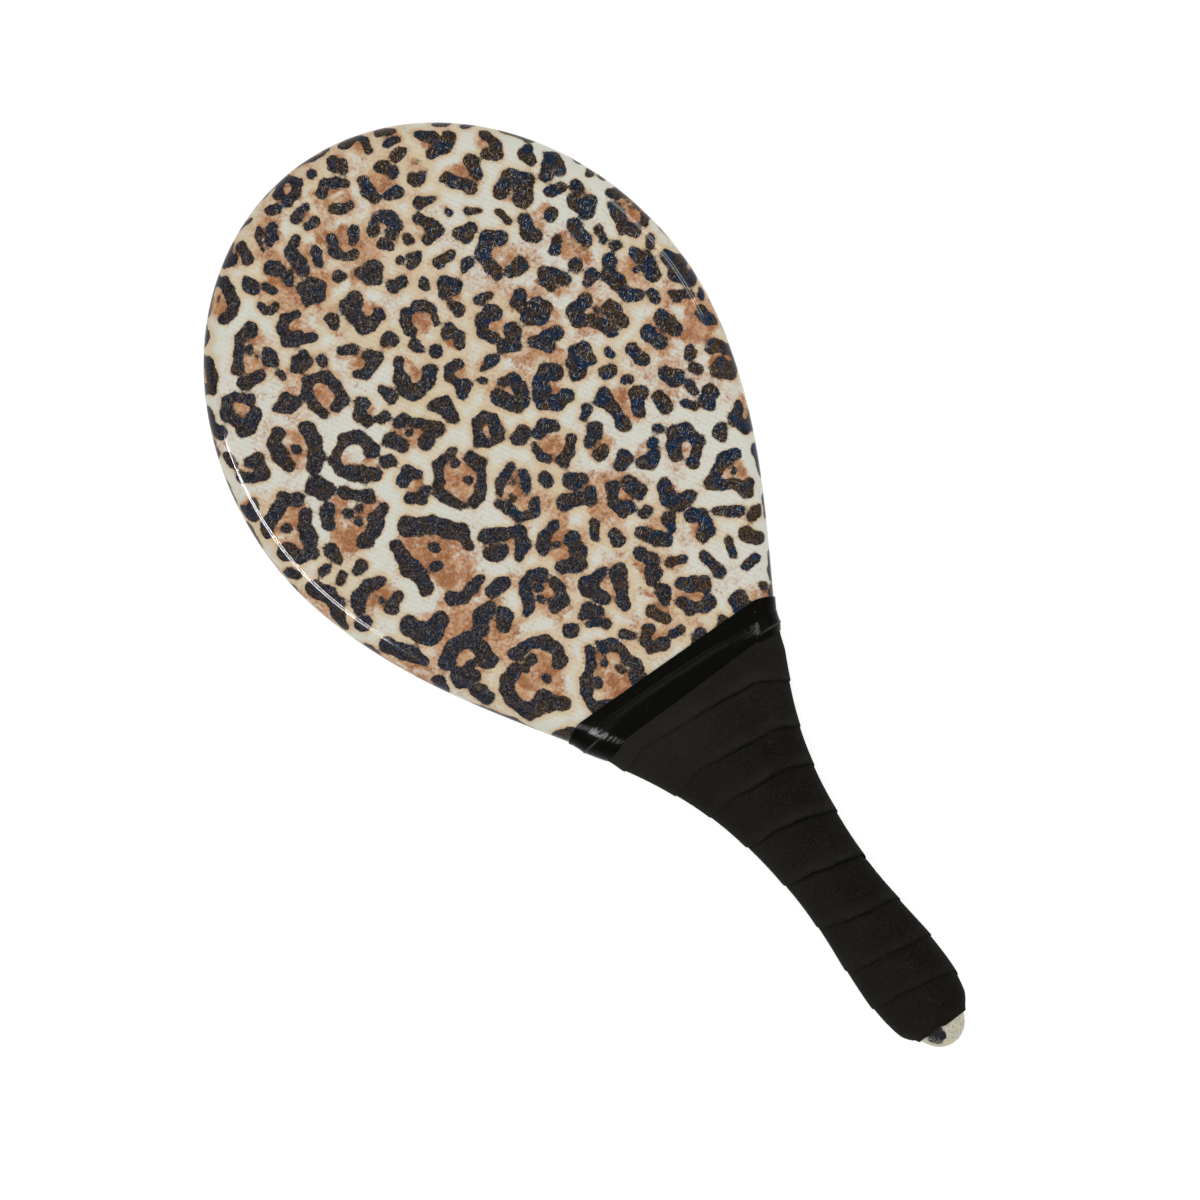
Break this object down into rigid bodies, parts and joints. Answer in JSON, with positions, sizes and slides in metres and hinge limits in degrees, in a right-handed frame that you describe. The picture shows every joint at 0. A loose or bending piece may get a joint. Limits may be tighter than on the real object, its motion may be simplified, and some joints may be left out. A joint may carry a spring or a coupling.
{
  "type": "beach paddle",
  "caption": "Beach paddle: flat drop-shaped head with a rounded rim in leopard-print cloth under clear resin, and a tape-wound handle with a glossy collar.",
  "frame": {"origin": "on the surface that the paddle lies on, under the middle of its length and width", "axes": "+Y from the butt to the top of the head, +Z out of the front face, X across the head"},
  "size_m": [0.2108, 0.45, 0.0265],
  "materials": {
    "printed_cover": "leopard-print cloth cured in clear glossy resin",
    "laminate": "cured glass-fibre laminate, fine weave",
    "rim_bond": "cured thickened resin",
    "foam_core": "rigid closed-cell foam",
    "handle_wood": "sanded, bare",
    "grip_tape": "matte, fine-grained, soft",
    "collar_tape": "glossy vinyl tape, stretched smooth"
  },
  "bodies": {
    "root": {"front_cover": "printed_cover", "back_cover": "printed_cover", "front_laminate": "laminate", "back_laminate": "laminate", "rim_bond": "rim_bond", "head_core": "foam_core", "handle_core": "handle_wood", "grip_tape": "grip_tape", "collar_tape": "collar_tape"}
  },
  "joints": []
}
